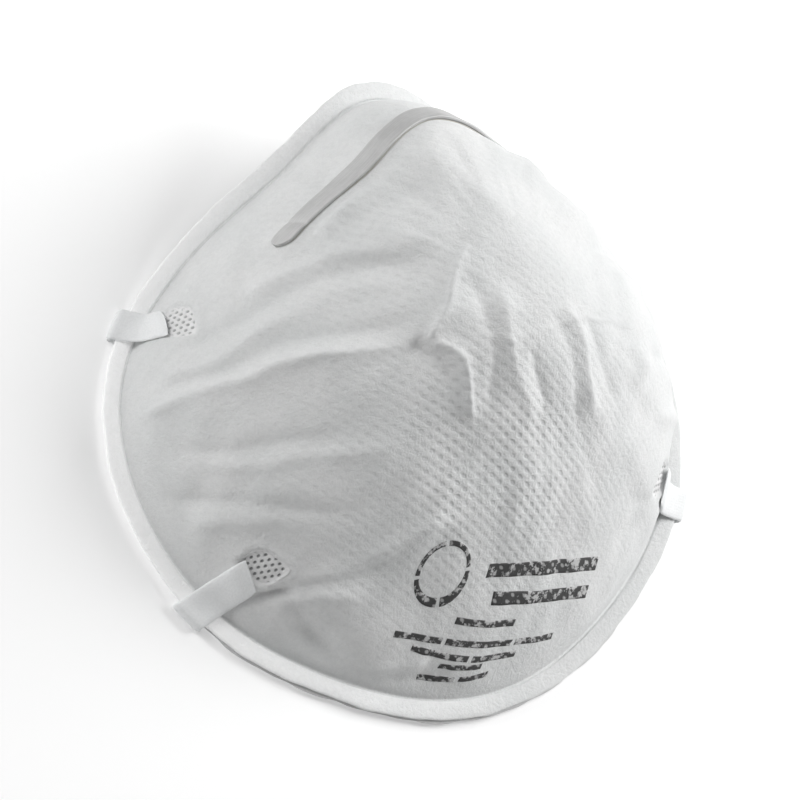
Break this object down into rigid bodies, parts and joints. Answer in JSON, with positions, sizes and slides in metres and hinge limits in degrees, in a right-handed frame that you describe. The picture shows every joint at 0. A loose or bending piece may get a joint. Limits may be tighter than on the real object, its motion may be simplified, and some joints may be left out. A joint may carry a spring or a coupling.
{
  "type": "disposable dust mask",
  "caption": "Moulded cup dust mask with pressed rim, aluminium nose clip, inner nose foam and welded elastic head straps stored inside the cup.",
  "frame": {"origin": "middle of the bounding box at the bottom, level with the undersides of the four welded strap ends that the mask lies on", "axes": "+X to the wearer's left and the longest side, +Y to the nose, +Z out of the front of the dome"},
  "size_m": [0.138, 0.127, 0.0535],
  "materials": {
    "cover_fabric": "embossed white nonwoven",
    "filter_fabric": "fine white melt-blown web",
    "shell_fabric": "stiff moulded nonwoven",
    "lining_fabric": "soft white nonwoven",
    "clip_metal": "matte grey",
    "glue": "clear hot-melt film",
    "foam": "open-cell foam",
    "elastic": "matte translucent white elastomer"
  },
  "bodies": {
    "cup": {"outer_cover": "cover_fabric", "filter_media": "filter_fabric", "moulded_shell": "shell_fabric", "inner_lining": "lining_fabric", "nose_clip": "clip_metal", "clip_glue": "glue", "nose_foam": "foam", "foam_glue": "glue", "strap_welds": "elastic", "upper_left_strap_end": "elastic", "upper_right_strap_end": "elastic", "lower_left_strap_end": "elastic", "lower_right_strap_end": "elastic"},
    "upper_band": {"upper_strap": "elastic"},
    "lower_band": {"lower_strap": "elastic"}
  },
  "joints": [
    {"name": "upper_strap_swing", "type": "hinge", "parent": "cup", "child": "upper_band", "pos_m": [0, 0.02337, 0.00045], "axis": [1, 0, 0], "range_deg": [0, 195]},
    {"name": "lower_strap_swing", "type": "hinge", "parent": "cup", "child": "lower_band", "pos_m": [0, -0.0267, 0.00045], "axis": [1, 0, 0], "range_deg": [-165, 0]}
  ]
}
